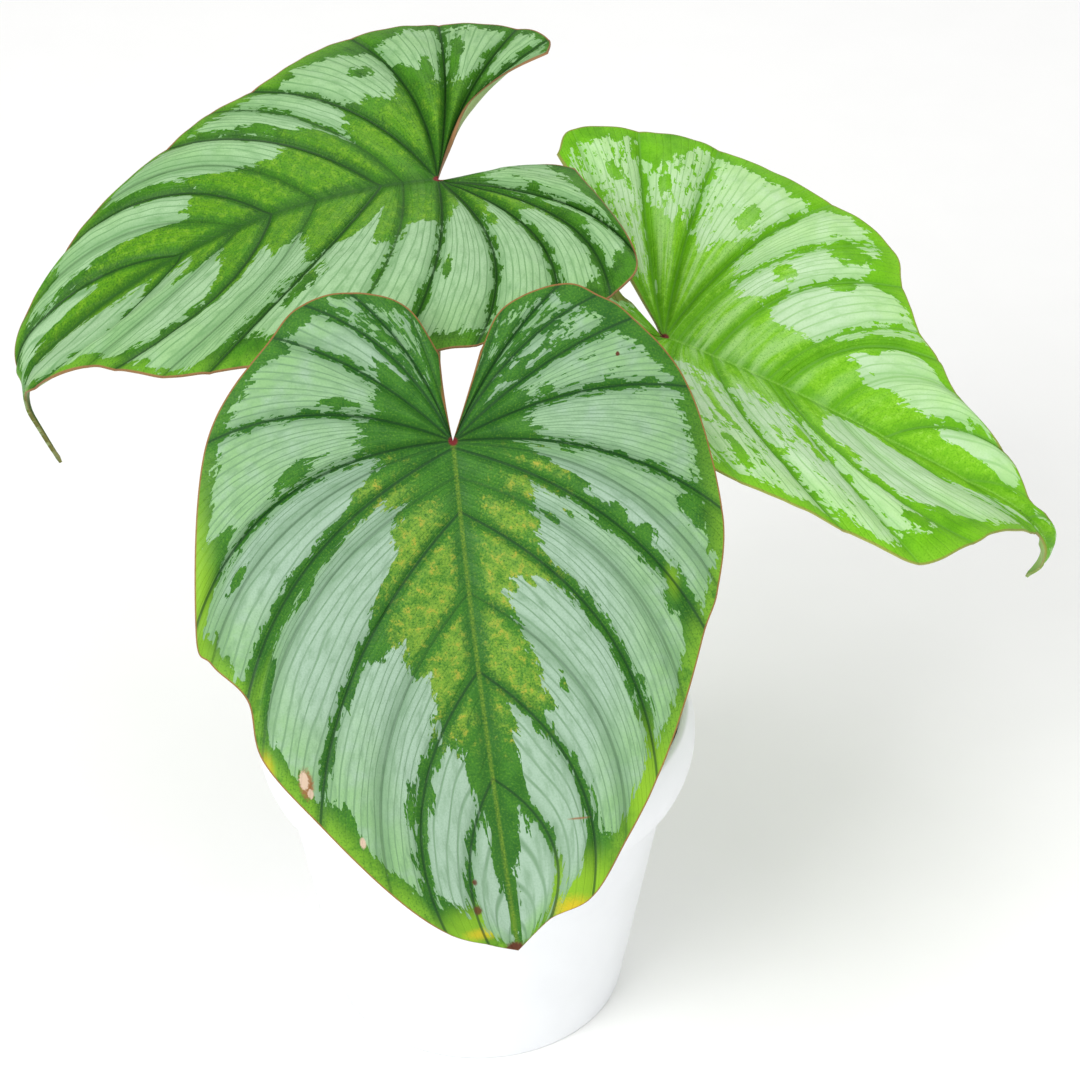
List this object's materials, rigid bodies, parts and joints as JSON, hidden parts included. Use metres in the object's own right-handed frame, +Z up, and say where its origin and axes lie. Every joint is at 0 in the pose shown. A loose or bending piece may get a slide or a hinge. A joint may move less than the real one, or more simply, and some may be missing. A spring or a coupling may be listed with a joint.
{
  "type": "potted philodendron mamei",
  "caption": "Young silver-marked philodendron with quilted heart-shaped leaf blades on long stalks, growing from a creeping stem in a round white nursery pot.",
  "frame": {"origin": "centre of the pot's flat underside, on which the plant stands", "axes": "+Z up, -Y towards the front leaf and the viewer of the picture, +X to the picture's right"},
  "size_m": [0.2357, 0.1989, 0.1929],
  "materials": {
    "pot": "smooth moulded white plastic",
    "soil": "loose moist bark and coir mix",
    "rhizome": "ringed, satin, half woody",
    "petiole": "satin, reddish near the blade",
    "blade_front": "satin, silver-green between the veins",
    "blade_left": "satin, silver-green between the veins",
    "blade_right": "satin, mint and lime"
  },
  "bodies": {
    "root": {"pot": "pot", "soil": "soil", "rhizome": "rhizome", "petiole_front": "petiole", "petiole_left": "petiole", "petiole_right": "petiole", "blade_front": "blade_front", "blade_left": "blade_left", "blade_right": "blade_right"}
  },
  "joints": []
}
